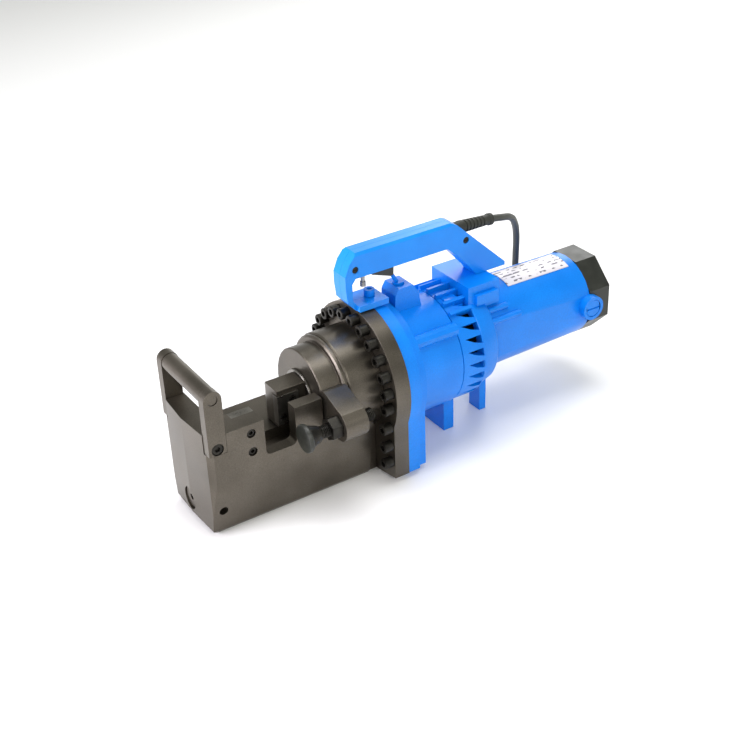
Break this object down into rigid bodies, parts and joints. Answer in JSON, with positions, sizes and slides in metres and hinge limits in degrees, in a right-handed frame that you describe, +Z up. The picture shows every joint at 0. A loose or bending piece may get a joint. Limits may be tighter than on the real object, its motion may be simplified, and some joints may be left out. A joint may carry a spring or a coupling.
{
  "type": "rebar cutter",
  "caption": "Portable electro-hydraulic rebar cutter with a hooked cutting head, carrying handles, a pistol-type trigger in the main handle and a mains cord.",
  "frame": {"origin": "centre of the underside of the steel head flange's foot, on the surface the tool stands on", "axes": "+X from the cutting nose towards the motor, +Z up, Y=0 the centre plane of the frame"},
  "size_m": [0.584, 0.3185, 0.277],
  "materials": {
    "forged_steel": "machined forging, grey-brown oil finish",
    "black_screws": "black oxide",
    "tool_steel": "ground tool steel",
    "ground_steel": "ground and polished",
    "blue_paint": "semi-gloss enamel on cast aluminium",
    "blue_plastic": "moulded, satin gloss",
    "black_plastic": "moulded, fine grain",
    "carbon": "pressed carbon",
    "black_rubber": "matt rubber",
    "windings": "lacquered copper on laminations",
    "plate": "printed aluminium label"
  },
  "bodies": {
    "housing": {"cutter_frame": "forged_steel", "cylinder_barrel": "forged_steel", "head_flange": "forged_steel", "front_handle_leg_near": "forged_steel", "front_handle_leg_far": "forged_steel", "front_handle_bar": "forged_steel", "nose_plug": "forged_steel", "stopper_lock_nut": "forged_steel", "pump_block": "forged_steel", "flange_bolts": "black_screws", "fixed_cutter_screw_upper": "black_screws", "fixed_cutter_screw_lower": "black_screws", "front_handle_bolt_near": "black_screws", "front_handle_bolt_far": "black_screws", "fixed_cutter": "tool_steel", "gland_ring": "ground_steel", "return_spring": "ground_steel", "pump_plunger": "ground_steel", "front_bearing": "ground_steel", "rear_bearing": "ground_steel", "gear_shaft_bearing": "ground_steel", "handle_screw_front": "ground_steel", "handle_screw_rear": "ground_steel", "pump_housing": "blue_paint", "gear_housing": "blue_paint", "motor_housing": "blue_paint", "oil_plug": "blue_paint", "brush_cap_near": "blue_paint", "brush_cap_far": "blue_paint", "handle_bolt_front": "blue_paint", "handle_bolt_rear": "blue_paint", "handle_shell_near": "blue_plastic", "handle_shell_far": "blue_plastic", "end_cap": "black_plastic", "switch_body": "black_plastic", "plug": "black_plastic", "carbon_brush_near": "carbon", "carbon_brush_far": "carbon", "oil_bladder": "black_rubber", "cord_guard": "black_rubber", "power_cord": "black_rubber", "cord_coil": "black_rubber", "stator": "windings", "nameplate": "plate"},
    "ram": {"piston_rod": "ground_steel", "piston_seal": "black_rubber", "moving_cutter_head": "forged_steel", "moving_cutter": "tool_steel", "moving_cutter_screw_upper": "black_screws", "moving_cutter_screw_lower": "black_screws"},
    "stopper": {"stopper_pad": "black_plastic", "stopper_screw": "forged_steel"},
    "trigger": {"trigger": "black_plastic"},
    "lock_pin": {"lock_pin": "ground_steel"},
    "rotor": {"armature": "windings", "cooling_fan": "black_plastic"},
    "eccentric": {"eccentric_shaft": "ground_steel", "drive_gear": "ground_steel", "eccentric_bearing": "ground_steel"},
    "release_lever": {"release_lever": "blue_paint"}
  },
  "joints": [
    {"name": "ram_slide", "type": "slide", "parent": "housing", "child": "ram", "axis": [-1, 0, 0], "range_m": [0, 0.038], "stiffness_N_per_m": 3000, "springref_m": -0.02, "deforming": ["return_spring"]},
    {"name": "stopper_feed", "type": "slide", "parent": "housing", "child": "stopper", "axis": [-1, 0, 0], "range_m": [-0.0085, 0.0255]},
    {"name": "trigger_pull", "type": "hinge", "parent": "housing", "child": "trigger", "pos_m": [0.016, 0, 0.255], "axis": [0, -1, 0], "range_deg": [0, 8], "stiffness_Nm_per_rad": 0.6, "springref_deg": -20.05},
    {"name": "lock_pin_press", "type": "slide", "parent": "housing", "child": "lock_pin", "axis": [0, 0, 1], "range_m": [0, 0.004], "stiffness_N_per_m": 400, "springref_m": -0.003},
    {"name": "rotor_spin", "type": "hinge", "parent": "housing", "child": "rotor", "pos_m": [0.2, 0, 0.123], "axis": [1, 0, 0], "continuous": true},
    {"name": "eccentric_spin", "type": "hinge", "parent": "housing", "child": "eccentric", "pos_m": [0.09, 0, 0.093], "axis": [1, 0, 0], "continuous": true},
    {"name": "release_turn", "type": "hinge", "parent": "housing", "child": "release_lever", "pos_m": [0.055, 0, 0.22], "axis": [0, 0, 1], "range_deg": [0, 90]}
  ],
  "couplings": [
    {"joint": "eccentric_spin", "follows": "rotor_spin", "ratio": -0.23077}
  ]
}
